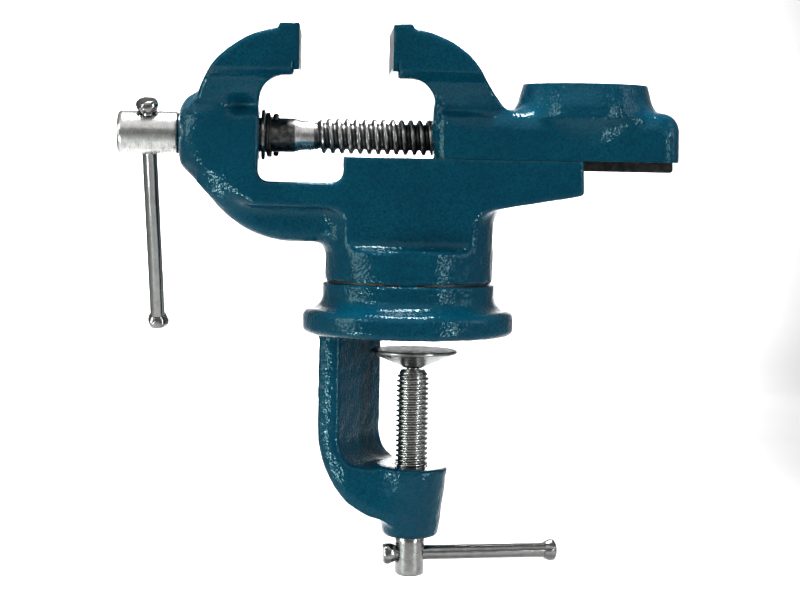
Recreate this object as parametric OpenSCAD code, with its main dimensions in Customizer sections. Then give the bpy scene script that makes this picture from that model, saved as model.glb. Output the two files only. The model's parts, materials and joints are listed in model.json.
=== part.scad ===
// Clamp-on swivel bench vise, 60 mm jaws.
// +X runs along the main screw from its handle to the anvil, +Z is up.
// The origin is on the swivel axis, in the flat underside of the clamp base that sits on the bench.

/* [Jaws] */
// Width of both jaws
jaw_w = 60; // [56:1:64]
// Opening between the jaw plates as drawn
gap = 35.8; // [10:0.1:58]
// Height of the jaw tops above the bench
jaw_top = 120.4; // [119:0.1:122]
// Thickness of a jaw plate
plate_t = 2; // [1.6:0.1:2.4]
// Height of a jaw plate
plate_h = 17.8; // [16:0.1:18.4]

/* [Slide] */
// Width of the slideway and of the moving jaw's slide
slide_w = 45; // [44:0.5:46]
// Height of the slideway's top
slide_z = 69.8; // [69.4:0.1:70.2]
// Height of the main screw's axis
screw_z = 78; // [78:0.1:78.4]
// Thickness of the dovetail key under the moving jaw
key_t = 3.9; // [3.5:0.1:4.2]

/* [Screws] */
// Major radius of the main screw's thread
main_r = 7; // [6.6:0.1:7]
// Major radius of the clamp screw's thread
clamp_r = 6.5; // [6.1:0.1:6.5]
// Radius of both tommy bars
bar_r = 3; // [2.8:0.1:3]
// Length of the main tommy bar over its knobs
main_bar_l = 98; // [80:1:110]
// Length of the clamp tommy bar over its knobs
clamp_bar_l = 72; // [60:1:84]

/* [Base] */
// Radius of the base flange
flange_r = 42.2; // [41.5:0.1:43]
// Angle of the clamp arm about the swivel axis
arm_turn = -27; // [-60:1:60]
// Width of the clamp arm
arm_w = 40.6; // [36:0.2:42]

/* [Hidden] */
$fn = 64;

enamel = "#125c68";
steel = "#b9bcc0";
dark_steel = "#3a3b3d";
run = 0.06;          // radial clearance of a running fit
eps = 0.5;           // overreach of a cut

// Jaws
fixed_face = -44.4;                       // working face of the fixed plate
moving_face = fixed_face + gap;           // working face of the moving plate
fixed_seat = fixed_face - plate_t;        // machined faces behind the plates
moving_seat = moving_face + plate_t;
head_r = 37.3;                            // sweep of the jaw's outer curve
head_z = 81.5;                            // height of that curve's centre
head_back = 4;                            // its centre behind the working face
pad_l = 7.4;                              // raised strip along the jaw top, plate included
pad_rise = 1.7;
under_z = 100;                            // underside of the jaw overhang
throat_d = 15;                            // throat depth behind the working face, fixed jaw
throat_r = 9.5;
plate_z0 = jaw_top - plate_h;
plate_screw_y = 18;
plate_screw_z = jaw_top - plate_h / 2;
plate_screw_r = 1.75;

// Slideway and drum
rail_x0 = -27.4;                          // left end of the slideway
rail_x1 = 66.5;                           // right end of the slideway
notch_z = 60.3;                           // floor of the body's throat
throat_x = fixed_face - throat_d;         // inner wall of the upright
drum_r = 33.5;
drum_z = 21.2;                            // underside of the drum's rim
ring_r = 32.6;                            // ring that the drum turns on
ledge_z = 34;                             // shoulder above which the drum is cut flat
arm_r = 39.3;                             // sweep of the lower outer curve
arm_x = -46;
arm_z = 36.1;                             // lowest point of the lower arm
web_w = 30;                               // width of the web under the slide rail

// Main screw
boss_x = -91.8;                           // left face of the screw boss
shank_r = 6.75;
drawn_r = 5.9;                            // neck between the shank and the thread
head_x0 = -116;                           // left end of the screw's head
head_rad = 8.5;
cross_x = -104;                           // cross hole in the head
thread_x0 = -38.5;
thread_x1 = 61;
bore_end = 98;                            // blind end of the bore in the moving jaw
nut_l = 30;                               // threaded length of that bore
bar_lean = -1.5;                          // lean of the main bar in its loose hole
bar_turn = 20;                            // turn of the main screw as drawn
hole_r = 3.5;                             // cross holes for the bars
knob_r = 4.7;
knob_l = 5;

// Swivel
base_top = 20.4;
spigot_r = 14;
bolt_r = 5;
recess_r = 16;
recess_z = 10;

// Clamp
clamp_x = 2.8;                            // clamp screw axis along the arm's direction
arm_out = -30.2;                          // outer face of the arm
arm_in = -20.6;                           // inner face of the arm
boss_z1 = -53.4;                          // top of the clamp boss
boss_z0 = -81.4;                          // bottom of the clamp boss
pad_z = -6.4;                             // top of the clamp pad
clamp_cross_z = -88.5;                    // height of the cross hole in the clamp screw
clamp_head_z = -97.5;                     // lowest point of the clamp screw
clamp_bar_turn = 9;                       // turn of the clamp bar as drawn
arm_sweep = 38.5;                         // radius of the arm's outer curve
pad_h = 7.2;                              // height of the pad's cone
pad_r = 17.5;
ball_r = 3;                               // ball on the clamp screw, seated in the pad
ball_z = pad_z - 4.1;
neck_r = 2.4;                             // neck below that ball

// Points on an arc in the drawing plane, from angle a0 to a1.
function arc(cx, cy, r, a0, a1, n = 12) =
    [for (i = [0:n]) let (a = a0 + (a1 - a0) * i / n) [cx + r * cos(a), cy + r * sin(a)]];

// A side profile drawn in X and Z, spread w wide about Y = 0.
module slab(w) rotate([90, 0, 0]) linear_extrude(height = w, center = true) children();

// A front profile drawn in Y and Z, run from x0 to x1.
module run_x(x0, x1) translate([x0, 0, 0]) rotate([90, 0, 90]) linear_extrude(height = x1 - x0) children();

// A round bar along +X from x0 to x1, on the main screw's height unless told otherwise.
module rod_x(r, x0, x1, z = screw_z) translate([x0, 0, z]) rotate([0, 90, 0]) cylinder(r = r, h = x1 - x0);

// A round bar along +Z from z0 to z1.
module cylinder_z(r, z0, z1) translate([0, 0, z0]) cylinder(r = r, h = z1 - z0);

// Half outline mirrored about the middle of the width.
function both(half) = concat(half, [for (i = [len(half) - 1:-1:0]) [-half[i][0], half[i][1]]]);

// Side profile of the fixed jaw, its seat at x = 0. The outer curve ends at angle back, and
// neck_bottom closes the profile across the neck as [x, z] points.
module jaw_side(top, neck_bottom, back) {
    cx = plate_t - head_back;
    a0 = 90 + asin((pad_l - plate_t + cx) / head_r);
    polygon(concat(
        [[0, under_z], [0, top], [-(pad_l - plate_t), top]],
        arc(cx, head_z, head_r, a0, back, 16),
        neck_bottom,
        arc(-throat_d + throat_r + plate_t, under_z - throat_r, throat_r, 180, 90, 8)));
}

// Front profile of a jaw: wide head, chamfered underside, neck drawn in above the slide.
module jaw_front(neck_top, neck_low, low_z) polygon(both([
    [jaw_w / 2, jaw_top + 1], [jaw_w / 2, 103.2], [neck_top, 99], [neck_low, low_z], [neck_low, 62]]));

// Hollow left by a countersunk screw that runs along +X from its head's face.
module csk_x(r, head, l, x, y, z, gap = 0) translate([x, y, z]) rotate([0, 90, 0]) {
    cylinder(r = r + gap, h = l);
    cylinder(r1 = head + gap, r2 = r + gap, h = head - r);
}

module plate(face, dir) difference() {
    translate([dir > 0 ? face : face - plate_t, -jaw_w / 2 + 0.5, plate_z0])
        cube([plate_t, jaw_w - 1, plate_h]);
    for (y = [-plate_screw_y, plate_screw_y]) translate([face, 0, 0]) mirror([dir > 0 ? 0 : 1, 0, 0])
        csk_x(plate_screw_r, plate_screw_r + 1.6, 8, 0, y, plate_screw_z, 0.02);
}

module plate_screws(face, dir) for (y = [-plate_screw_y, plate_screw_y])
    translate([face + 0.1 * dir, 0, 0]) mirror([dir > 0 ? 0 : 1, 0, 0]) difference() {
        csk_x(plate_screw_r, plate_screw_r + 1.5, 11, 0, y, plate_screw_z);
        translate([-eps, y, plate_screw_z]) rotate([0, 90, 0]) cylinder(r = 1.1, h = eps + 1.2, $fn = 6);
    }

module plate_screw_holes(face, dir) for (y = [-plate_screw_y, plate_screw_y])
    translate([face, 0, 0]) mirror([dir > 0 ? 0 : 1, 0, 0])
        csk_x(plate_screw_r, plate_screw_r + 1, 12, 0, y, plate_screw_z, 0.02);

// ---- Upper half: fixed jaw, slideway and swivel drum in one casting ----

module fixed_jaw_shell() {
    // head and upright
    intersection() {
        translate([fixed_seat, 0, 0]) slab(jaw_w + 2)
            jaw_side(jaw_top, [[-37, 70], [-throat_d + plate_t, 70]], 172);
        run_x(-100, 0) jaw_front(24, 19, 88);
    }
    // upright beside the screw and the rail that runs under the throat
    slab(slide_w - 3) difference() {
        union() {
            translate([arm_x, arm_z + arm_r]) circle(r = arm_r);
            translate([arm_x, arm_z + 12]) square([24, 30]);
        }
        translate([-100, 92]) square([120, 60]);
        translate([rail_x0, 30]) square([60, 90]);
        translate([-100, arm_z - eps]) square([100, 51 - arm_z + eps]);
        hull() for (x = [throat_x + 4, rail_x0 - 4], z = [notch_z + 4, under_z])
            translate([x, z]) circle(r = 4, $fn = 32);
    }
    // narrower web below the rail
    slab(web_w) intersection() {
        translate([arm_x, arm_z + arm_r]) circle(r = arm_r);
        translate([-100, 30]) square([100, 24]);
    }
    slab(web_w) translate([arm_x, arm_z]) square([20, 18]);
    // boss round the main screw
    translate([0, 0, screw_z]) rotate([0, 90, 0]) rotate_extrude()
        polygon(concat([[0, -72], [17, -72]], [[16.6, boss_x + 8]],
            arc(8.6, boss_x + 8, 8, 0, -90, 8), [[0, boss_x]]));
}

module drum() {
    difference() {
        translate([0, 0, drum_z]) cylinder(r = drum_r, h = 33);
        translate([0, 0, ledge_z]) for (s = [-1, 1])
            translate([-50, s > 0 ? slide_w / 2 : -slide_w / 2 - 30, 0]) cube([100, 30, 40]);
    }
    cylinder_z(ring_r, base_top + 0.1, base_top + 2.1);
}

module slideway() slab(slide_w) polygon([
    [rail_x0, slide_z], [rail_x1, slide_z], [rail_x1 + 0.6, 57], [rail_x1 - 1, 56.2],
    [42, 52], [36, 50.8], [32, 46], [32, 40], [-24, 40], [-24, 50], [rail_x0, 50]]);

function key_half(z, slack) = 14 + slack + (slide_z - z) * 0.45;

module key_groove(slack) run_x(rail_x0 - 5, rail_x1 + 5) polygon(both([
    [key_half(slide_z + 1, slack), slide_z + 1],
    [key_half(slide_z - key_t, slack), slide_z - key_t - slack]]));

module fixed_jaw_body() color(enamel) difference() {
    union() {
        fixed_jaw_shell();
        slideway();
        drum();
    }
    rod_x(shank_r + run, boss_x - eps, throat_x + 10);
    key_groove(0.3);
    plate_screw_holes(fixed_face, -1);
    // register for the base's spigot and thread for the swivel bolt
    cylinder_z(spigot_r + run, base_top - 5, base_top + 4.3);
    cylinder_z(bolt_r + 0.02, base_top, 48);
    core();
}

// Hollow cast into the drum and the slideway above it, round the bolt's boss.
module core() difference() {
    union() {
        cylinder_z(28, base_top - 1, ledge_z - 3);
        intersection() {
            cylinder_z(28, ledge_z - 4, 50);
            translate([-30, -17, 0]) cube([60, 34, 60]);
        }
    }
    cylinder_z(spigot_r + 4, base_top - 2, base_top + 8);
    cylinder_z(bolt_r + 5, base_top, 51);
}

module fixed_jaw_plate() color(steel) plate(fixed_face, -1);
module fixed_plate_screws() color(steel) plate_screws(fixed_face, -1);

// ---- Moving jaw with its slide and anvil ----

anvil_x = moving_face + 77.4;
slide_x0 = moving_face + throat_d + 1.9;
slide_x1 = moving_face + 113.2;
slide_top = 89.4;
anvil_top = 100;

module moving_jaw_side() {
    cx = head_back - plate_t;
    polygon(concat(
        [[0, under_z], [0, jaw_top + 0.5], [pad_l - plate_t, jaw_top + 0.5]],
        arc(cx, head_z, head_r + 0.5, 90 - asin((pad_l - plate_t - cx) / head_r), 42, 14),
        [[42.6, slide_top], [42.6, 76], [slide_x0 - moving_seat, 76]],
        arc(slide_x0 - moving_seat - throat_r, under_z - throat_r, throat_r, 0, 90, 8)));
}

module slide_bar() run_x(slide_x0, slide_x1) polygon(both(concat(
    [[slide_w / 2, slide_z + 0.1]], arc(slide_w / 2 - 7, slide_top - 7, 7, 0, 90, 8))));

module anvil() translate([anvil_x, 0, 0]) rotate_extrude() polygon(concat(
    [[0, 78], [21.5, 78]],
    arc(20.5, 86, 7.2, -50, 0, 5),
    [[27.2, 91], [24.9, anvil_top - 0.7], [24.2, anvil_top], [0, anvil_top]]));

module moving_jaw() color(enamel) difference() {
    union() {
        intersection() {
            translate([moving_seat, 0, 0]) slab(jaw_w + 2) moving_jaw_side();
            run_x(-30, 60) jaw_front(24, 16.5, 86);
        }
        slide_bar();
        anvil();
    }
    // rounded tail
    difference() {
        translate([slide_x1 - 6, -40, slide_top - 6]) cube([7, 80, 7]);
        translate([slide_x1 - 6, -41, slide_top - 6]) rotate([-90, 0, 0]) cylinder(r = 6, h = 82);
    }
    rod_x(main_r + run, slide_x0 - eps, slide_x0 + nut_l + 1);
    rod_x(main_r + 0.8, slide_x0 + nut_l, bore_end);
    for (p = key_screw_at) translate([p[0], p[1], slide_z]) cylinder(r = 2.02, h = 12);
    plate_screw_holes(moving_face, 1);
}

module moving_jaw_plate() color(steel) plate(moving_face, 1);
module moving_plate_screws() color(steel) plate_screws(moving_face, 1);

key_x0 = slide_x0 + 1.2;
key_x1 = slide_x1 - 2.2;
key_screw_at = [for (x = [key_x0 + 10, key_x1 - 10], y = [-10.5, 10.5]) [x, y]];

module slide_key() color(dark_steel) difference() {
    run_x(key_x0, key_x1) polygon(both([
        [key_half(slide_z, 0), slide_z + 0.1], [key_half(slide_z - key_t, 0), slide_z - key_t]]));
    difference() {
        translate([key_x1 - 1.5, -20, slide_z - key_t - eps]) cube([2, 40, 1.5 + eps]);
        translate([key_x1 - 1.5, -21, slide_z - key_t + 1.5]) rotate([-90, 0, 0]) cylinder(r = 1.5, h = 42);
    }
    for (p = key_screw_at) translate([p[0], p[1], slide_z - key_t]) {
        translate([0, 0, -eps]) cylinder(r = 2.02, h = key_t + 1);
        cylinder(r1 = 3.9, r2 = 2, h = 2);
    }
}

module key_screws() color(dark_steel) for (p = key_screw_at) translate([p[0], p[1], slide_z - key_t])
    difference() {
        union() {
            translate([0, 0, 0.15]) cylinder(r1 = 3.7, r2 = 2, h = 1.75);
            translate([0, 0, 0.15]) cylinder(r = 2, h = 13);
        }
        translate([0, 0, -eps]) cylinder(r = 1.2, h = eps + 1.4, $fn = 6);
    }

// ---- Main screw and what keeps it in the boss ----

pin_x = throat_x + 5.75;

// Turned about the main screw's axis to its drawn position.
module on_screw() translate([0, 0, screw_z]) rotate([bar_turn, 0, 0])
    translate([0, 0, -screw_z]) children();

// Frame of the main bar: its own +Z is the bar's upper end.
module on_main_bar() on_screw() translate([cross_x, 0, screw_z]) rotate([0, bar_lean, 0]) children();

module main_screw() color(steel) on_screw() difference() {
    translate([0, 0, screw_z]) rotate([0, 90, 0]) rotate_extrude() polygon([
        [0, head_x0], [head_rad - 0.8, head_x0], [head_rad, head_x0 + 0.8],
        [head_rad, boss_x - 0.7], [head_rad - 0.6, boss_x - 0.1], [shank_r, boss_x - 0.1],
        [shank_r, throat_x + 13.5], [drawn_r, throat_x + 15.5], [drawn_r, thread_x0],
        [main_r, thread_x0 + 1], [main_r, thread_x1 - 1.5], [main_r - 1.5, thread_x1], [0, thread_x1]]);
    on_main_bar_hole();
    translate([pin_x, 0, screw_z - 10]) cylinder(r = 1.22, h = 20);
}

// Cross hole of the screw's head.
module on_main_bar_hole() translate([cross_x, 0, screw_z - 15]) cylinder(r = hole_r, h = 30);

module thrust_washer() color(steel) difference() {
    rod_x(10, throat_x + 0.1, throat_x + 1.6);
    rod_x(shank_r + run, throat_x - 1, throat_x + 3);
}

// Two coils of round spring wire between the washer and the pin.
module thrust_spring() color(dark_steel) for (i = [0, 1])
    translate([throat_x + 2.3 + i * 1.45, 0, screw_z]) rotate([0, 90, 0])
        rotate_extrude() translate([shank_r + 1.5, 0]) circle(r = 0.7, $fn = 24);

module retaining_pin() color(steel) on_screw() difference() {
    translate([pin_x, 0, screw_z - 8.6]) cylinder(r = 1.2, h = 17.2);
    translate([pin_x, 0, screw_z - 9]) cylinder(r = 0.7, h = 18);
}

// A forged bar end: the bar's own end is at z = 0 and the knob reaches l outwards.
module knob(l, bore) rotate_extrude() polygon(concat(
    [[bore, 0], [bar_r + 0.9, 0]],
    arc(knob_r - 1.5, l / 2, l / 2 - 0.1, -70, 70, 8),
    [[bar_r - 0.4, l], [0, l], [0, l * 0.6], [bore, l * 0.6]]));

main_bar_up = head_rad + knob_l + 0.35;           // top end above the screw's axis
main_bar_down = main_bar_l - main_bar_up;

module main_bar() color(steel) on_main_bar()
    translate([0, 0, -main_bar_down + knob_l * 0.4]) cylinder(r = bar_r, h = main_bar_l - knob_l * 0.8);
module main_bar_top_knob() color(steel) on_main_bar()
    translate([0, 0, main_bar_up - knob_l]) knob(knob_l, bar_r);
module main_bar_end_knob() color(steel) on_main_bar()
    translate([0, 0, -main_bar_down + knob_l]) rotate([180, 0, 0]) knob(knob_l, bar_r);

// ---- Swivel fastening ----

module swivel_spring() color(dark_steel) rotate_extrude() polygon([
    [bolt_r + 0.3, recess_z - 1.8], [bolt_r + 4, recess_z - 1.8],
    [13, recess_z - 0.75], [13, recess_z - 0.05], [12, recess_z - 0.05], [bolt_r + 0.3, recess_z - 0.9]]);

module swivel_washer() color(steel) translate([0, 0, recess_z - 3.5]) difference() {
    cylinder(r = 11, h = 1.65);
    translate([0, 0, -1]) cylinder(r = bolt_r + 0.25, h = 4);
}

module swivel_bolt() color(dark_steel) {
    translate([0, 0, 0.6]) cylinder(r = 9.2, h = recess_z - 3.55 - 0.6, $fn = 6);
    cylinder_z(bolt_r, 2, 44);
}

// ---- Clamp base: flange, arm and screw boss in one casting ----

// Frame of the clamp: its +X points from the arm to the clamp screw.
module on_clamp() rotate([0, 0, arm_turn]) children();

module flange() rotate_extrude() polygon(concat(
    [[0, 0]],
    arc(flange_r - 2.6, 2.6, 2.6, -90, 0, 6),
    arc(flange_r - 3.6, 6.6, 3.6, 0, 90, 8),
    arc(flange_r - 2.6, 15.5, 5.3, 250, 180, 8),
    [[34.3, base_top - 0.5], [33.8, base_top], [0, base_top]]));

// Side outline of the arm, swept round from the flange to the boss.
module arm_side() polygon(concat(
    [[arm_in, 6], [arm_out, 6]],
    arc(arm_out + arm_sweep, -38, arm_sweep, 180, 245, 14),
    [[clamp_x, -76], [clamp_x, boss_z1 - 0.6], [clamp_x - 8, boss_z1]],
    arc(arm_in + 10, -43, 10, 265, 180, 8)));

module arm_plan() polygon([
    [arm_out - 3, -arm_w / 2], [-16, -arm_w / 2], [clamp_x, -12.6],
    [clamp_x, 12.6], [-16, arm_w / 2], [arm_out - 3, arm_w / 2]]);

module clamp_base() color(enamel) difference() {
    union() {
        flange();
        cylinder_z(spigot_r, base_top - 1, base_top + 4);
        on_clamp() intersection() {
            slab(arm_w + 1) arm_side();
            translate([0, 0, -90]) linear_extrude(height = 100) arm_plan();
        }
        on_clamp() translate([clamp_x, 0, 0]) rotate_extrude() polygon(concat(
            [[0, boss_z0]],
            arc(8.9, boss_z0 + 2.6, 2.6, -90, -5, 5),
            [[14.5, boss_z1 - 0.8], [13.9, boss_z1], [0, boss_z1]]));
    }
    cylinder_z(recess_r, -eps, recess_z);
    cylinder_z(bolt_r + run, 0, base_top + 6);
    on_clamp() translate([clamp_x, 0, 0]) cylinder_z(clamp_r + run, boss_z0 - 1, boss_z1 + 1);
}

// ---- Clamp screw, pad and bar ----

module on_clamp_axis() on_clamp() translate([clamp_x, 0, 0]) children();

clamp_head_r = 5.9;
clamp_top_z = pad_z - pad_h - 0.6;                // shoulder under the pad

module clamp_screw() color(steel) on_clamp_axis() difference() {
    union() {
        translate([0, 0, ball_z]) sphere(r = ball_r);
        cylinder_z(neck_r, clamp_top_z - 1, ball_z);
        rotate_extrude() polygon([
            [0, clamp_head_z], [clamp_head_r - 0.8, clamp_head_z], [clamp_head_r, clamp_head_z + 0.8],
            [clamp_head_r, boss_z0 - 0.4], [clamp_r, boss_z0],
            [clamp_r, clamp_top_z - 1.4], [clamp_r - 1.5, clamp_top_z], [0, clamp_top_z]]);
    }
    rotate([0, 0, clamp_bar_turn - arm_turn]) translate([-10, 0, clamp_cross_z])
        rotate([0, 90, 0]) cylinder(r = bar_r + 0.2, h = 20);
}

module clamp_pad() color(steel) on_clamp_axis() difference() {
    rotate_extrude() polygon([
        [0, pad_z - pad_h], [4.5, pad_z - pad_h], [pad_r - 0.4, pad_z - 1.5], [pad_r, pad_z - 1.1],
        [pad_r, pad_z - 0.4], [pad_r - 0.4, pad_z], [0, pad_z]]);
    translate([0, 0, ball_z]) sphere(r = ball_r + run);
    cylinder_z(ball_r + run, pad_z - 10, ball_z);
    cylinder_z(3.6, pad_z - 6.7, pad_z - 5.8);
}

// Wire ring sprung into a groove of the pad, under the ball.
module pad_snap_ring() color(dark_steel) on_clamp_axis() difference() {
    cylinder_z(3.45, pad_z - 6.6, pad_z - 5.9);
    cylinder_z(neck_r + 0.25, pad_z - 9, pad_z - 5);
}

clamp_bar_in = clamp_head_r + 0.35 + knob_l;              // inner end of the bar from the screw's axis
clamp_bar_out = clamp_bar_l - clamp_bar_in;

module on_clamp_bar() on_clamp_axis() translate([0, 0, clamp_cross_z])
    rotate([0, 0, clamp_bar_turn - arm_turn]) rotate([0, 90, 0]) children();

module clamp_bar() color(steel) on_clamp_bar()
    translate([0, 0, -clamp_bar_in + knob_l * 0.4]) cylinder(r = bar_r, h = clamp_bar_l - knob_l * 0.8);
module clamp_bar_inner_knob() color(steel) on_clamp_bar()
    translate([0, 0, -clamp_bar_in + knob_l]) rotate([180, 0, 0]) knob(knob_l, bar_r);
module clamp_bar_outer_knob() color(steel) on_clamp_bar()
    translate([0, 0, clamp_bar_out - knob_l]) knob(knob_l, bar_r);

fixed_jaw_body();
fixed_jaw_plate();
fixed_plate_screws();
moving_jaw();
moving_jaw_plate();
moving_plate_screws();
slide_key();
key_screws();
main_screw();
thrust_washer();
thrust_spring();
retaining_pin();
main_bar();
main_bar_top_knob();
main_bar_end_knob();
swivel_bolt();
swivel_washer();
swivel_spring();
clamp_base();
clamp_screw();
clamp_pad();
pad_snap_ring();
clamp_bar();
clamp_bar_inner_knob();
clamp_bar_outer_knob();
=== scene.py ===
"""Looks of the clamp-on swivel bench vise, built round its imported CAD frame.

Castings are modelled as signed distance fields in millimetres, so that their blends and fillets are real
geometry, and then machined with crisp cuts. Turned and forged pieces are lathed, with helical threads.
"""

import json
import math

import bmesh
import bpy
import numpy as np
import openvdb as vdb
from mathutils import Matrix, Vector


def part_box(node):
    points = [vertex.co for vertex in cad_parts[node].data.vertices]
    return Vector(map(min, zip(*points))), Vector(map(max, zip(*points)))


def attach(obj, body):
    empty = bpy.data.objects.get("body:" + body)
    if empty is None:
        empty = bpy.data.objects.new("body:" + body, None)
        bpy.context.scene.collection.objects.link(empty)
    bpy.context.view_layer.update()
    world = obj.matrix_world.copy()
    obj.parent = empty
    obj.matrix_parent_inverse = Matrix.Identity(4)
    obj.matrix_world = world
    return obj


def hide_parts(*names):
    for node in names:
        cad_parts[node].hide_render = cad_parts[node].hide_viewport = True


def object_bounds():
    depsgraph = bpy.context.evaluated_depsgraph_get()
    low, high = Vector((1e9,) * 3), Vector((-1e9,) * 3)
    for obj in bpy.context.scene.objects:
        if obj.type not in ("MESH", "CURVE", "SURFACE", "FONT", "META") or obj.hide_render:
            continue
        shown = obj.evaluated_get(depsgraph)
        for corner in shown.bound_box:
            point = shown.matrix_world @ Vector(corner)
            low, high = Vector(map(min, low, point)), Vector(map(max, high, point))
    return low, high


MM = 0.001
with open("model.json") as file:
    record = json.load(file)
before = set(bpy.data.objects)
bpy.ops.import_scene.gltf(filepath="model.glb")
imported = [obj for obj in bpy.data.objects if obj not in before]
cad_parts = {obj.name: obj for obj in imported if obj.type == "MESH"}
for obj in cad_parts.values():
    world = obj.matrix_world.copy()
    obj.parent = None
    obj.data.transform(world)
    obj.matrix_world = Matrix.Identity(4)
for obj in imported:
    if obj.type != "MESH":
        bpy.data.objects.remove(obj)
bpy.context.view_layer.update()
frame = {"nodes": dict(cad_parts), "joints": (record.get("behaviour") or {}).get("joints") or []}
NODES = frame["nodes"]


# ---- Places and sizes in millimetres, from the frame ----

def mm_box(node):
    """Lowest and highest corner of a CAD node, in millimetres."""
    low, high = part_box(node)
    return [c / MM for c in low], [c / MM for c in high]


def joint(name):
    return next(j for j in frame["joints"] if j["name"] == name)


fixed_plate, moving_plate = mm_box("fixed_jaw_plate"), mm_box("moving_jaw_plate")
FIXED_SEAT, FIXED_FACE = fixed_plate[0][0], fixed_plate[1][0]
MOVING_FACE, MOVING_SEAT = moving_plate[0][0], moving_plate[1][0]
PLATE_LOW, JAW_TOP = fixed_plate[0][2], fixed_plate[1][2]
body_box, jaw_box, base_box = mm_box("fixed_jaw_body"), mm_box("moving_jaw"), mm_box("clamp_base")
pad_box, clamp_box = mm_box("clamp_pad"), mm_box("clamp_screw")
key_box = mm_box("slide_key")
SCREW_Z = joint("main_screw_turn")["pos_m"][2] / MM
CLAMP_AXIS = [c / MM for c in joint("clamp_screw_turn")["pos_m"][:2]]
ARM_TURN = math.atan2(CLAMP_AXIS[1], CLAMP_AXIS[0])
CLAMP_X = math.hypot(*CLAMP_AXIS)
JAW_HALF = (body_box[1][1] - body_box[0][1]) / 2 - 3.5
SLIDE_HALF = 22.5
SLIDE_Z = key_box[1][2] - 0.1
THROAT_X = FIXED_FACE - 15
NOTCH_Z = 60.3
RAIL_X0, RAIL_X1 = -27.4, 66.5
UNDER_Z = 100.0
HEAD_Z, HEAD_R = 81.5, 37.3
DRUM_R, DRUM_Z, LEDGE_Z, RING_R = 33.5, 21.2, 34.0, 32.6
BASE_TOP = 20.4
SPIGOT_R, SPIGOT_BORE_R, BOLT_BORE_R, BOLT_RECESS_R = 14.0, 14.1, 5.05, 16.0
SPINDLE_BORE_R, SLIDE_BORE_R = 6.85, 7.1
PAD_LIFT = joint("clamp_lift")["range_m"]                 # metres below and above rest
THROAT_R, NOTCH_R = 9.5, 4.0
TOP_LAND = 5.4
ARM_SWEEP, ARM_SWEEP_Z = 38.5, -38.0
LUMP_SIZE, LUMP_DEPTH = 7, 0.07
FLANGE_R = (base_box[1][0] - base_box[0][0]) / 2


# ---- Signed distance fields ----

VOXEL = 0.7


def arc(cx, cz, r, a0, a1, n=10):
    """Points on an arc, angles in degrees."""
    angles = np.radians(np.linspace(a0, a1, n + 1))
    return [(cx + r * math.cos(a), cz + r * math.sin(a)) for a in angles]


def smooth_min(a, b, k):
    """Union of two fields with a blend about k wide."""
    h = np.maximum(k - np.abs(a - b), 0) / k
    return np.minimum(a, b) - h * h * k / 4


def smooth_max(a, b, k):
    """Intersection of two fields with an edge rounded over about k."""
    return -smooth_min(-a, -b, k)


def span(t, low, high):
    return np.maximum(low - t, t - high)


def polygon_field(u, v, points):
    """Exact signed distance to a closed polygon in the plane of u and v."""
    u, v = np.broadcast_arrays(u, v)
    nearest = np.full(u.shape, 1e9)
    inside = np.zeros(u.shape, bool)
    for (x0, y0), (x1, y1) in zip(points, points[1:] + points[:1]):
        dx, dy = x1 - x0, y1 - y0
        length = dx * dx + dy * dy
        if length < 1e-12:
            continue
        t = np.clip(((u - x0) * dx + (v - y0) * dy) / length, 0, 1)
        nearest = np.minimum(nearest, (u - x0 - t * dx) ** 2 + (v - y0 - t * dy) ** 2)
        if dy:
            crosses = ((y0 > v) != (y1 > v)) & (u < x0 + (v - y0) * dx / dy)
            inside ^= crosses
    distance = np.sqrt(nearest)
    return np.where(inside, -distance, distance)


class Field:
    """A grid of points round a casting; x, y and z are its open coordinate arrays."""

    def __init__(self, low, high, voxel=VOXEL, margin=2.5):
        self.voxel = voxel
        self.origin = np.array(low, float) - margin
        counts = np.ceil((np.array(high) + margin - self.origin) / voxel).astype(int) + 1
        axes = [self.origin[i] + voxel * np.arange(counts[i]) for i in range(3)]
        self.x = axes[0][:, None, None]
        self.y = axes[1][None, :, None]
        self.z = axes[2][None, None, :]

    def lumps(self, size, depth, seed, waves=10):
        """Gentle unevenness of a sand casting: a few crossing waves about size apart."""
        rng = np.random.default_rng(seed)
        total = 0
        for _ in range(waves):
            d = rng.normal(size=3)
            d *= 2 * math.pi / (size * rng.uniform(0.8, 1.6) * np.linalg.norm(d))
            phase = rng.uniform(0, 2 * math.pi)
            total = total + np.sin(self.x * d[0] + self.y * d[1] + self.z * d[2] + phase)
        return total * depth / math.sqrt(waves)

    def mesh(self, name, values):
        """The closed surface where the field is zero, as an object in metres."""
        grid = vdb.FloatGrid(3 * self.voxel)
        grid.copyFromArray(np.ascontiguousarray(values, np.float32))
        points, quads = grid.convertToQuads(0.0)
        points = (self.origin + points * self.voxel) * MM
        mesh = bpy.data.meshes.new(name)
        mesh.vertices.add(len(points))
        mesh.vertices.foreach_set("co", points.astype(np.float32).ravel())
        mesh.loops.add(quads.size)
        mesh.loops.foreach_set("vertex_index", quads.astype(np.int32).ravel())
        mesh.polygons.add(len(quads))
        mesh.polygons.foreach_set("loop_start", np.arange(0, quads.size, 4, dtype=np.int32))
        mesh.update(calc_edges=True)
        mesh.validate()
        return add_object(name, mesh)


def add_object(name, mesh):
    obj = bpy.data.objects.new(name, mesh)
    bpy.context.scene.collection.objects.link(obj)
    return obj


def closed_mesh(name, points, faces):
    """A mesh of points in metres whose faces all look outwards."""
    mesh = bpy.data.meshes.new(name)
    mesh.from_pydata(points, [], faces)
    bm = bmesh.new()
    bm.from_mesh(mesh)
    return close_bmesh(bm, mesh)


def close_bmesh(bm, mesh):
    bmesh.ops.recalc_face_normals(bm, faces=bm.faces)
    bm.to_mesh(mesh)
    bm.free()
    return mesh


# ---- Cuts and turned shapes ----

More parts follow.
